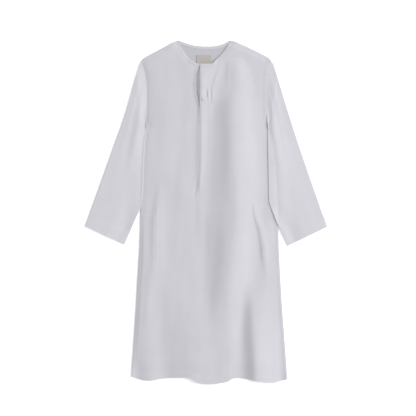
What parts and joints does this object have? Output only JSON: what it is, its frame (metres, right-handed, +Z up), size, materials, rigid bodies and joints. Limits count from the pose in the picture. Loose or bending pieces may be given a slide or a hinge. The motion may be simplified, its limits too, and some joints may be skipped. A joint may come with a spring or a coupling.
{
  "type": "thobe robe",
  "caption": "Thobe robe laid flat on its back: collarless bound neck, long buttoned chest slit, straight wide sleeves, side pockets and a calf-length body with soft hem folds.",
  "frame": {"origin": "middle of the bounding box in X and Y, on the surface that the robe lies on", "axes": "+X to the wearer's left, +Y from hem to neck, +Z up off the surface, out of the robe's front"},
  "size_m": [0.9101, 1.2867, 0.0189],
  "materials": {
    "cloth": "fine plain-woven shirting, cool white, matt with a faint sheen",
    "label": "woven satin tape, cream",
    "button": "white four-hole shirt button, satin gloss"
  },
  "bodies": {
    "root": {"front": "cloth", "back": "cloth", "sleeve_right": "cloth", "sleeve_left": "cloth", "placket_over": "cloth", "placket_under": "cloth", "neck_band_right": "cloth", "neck_band_left": "cloth", "neck_band_back": "cloth", "pocket_welt_right": "cloth", "pocket_welt_left": "cloth", "label": "label", "button": "button"}
  },
  "joints": []
}
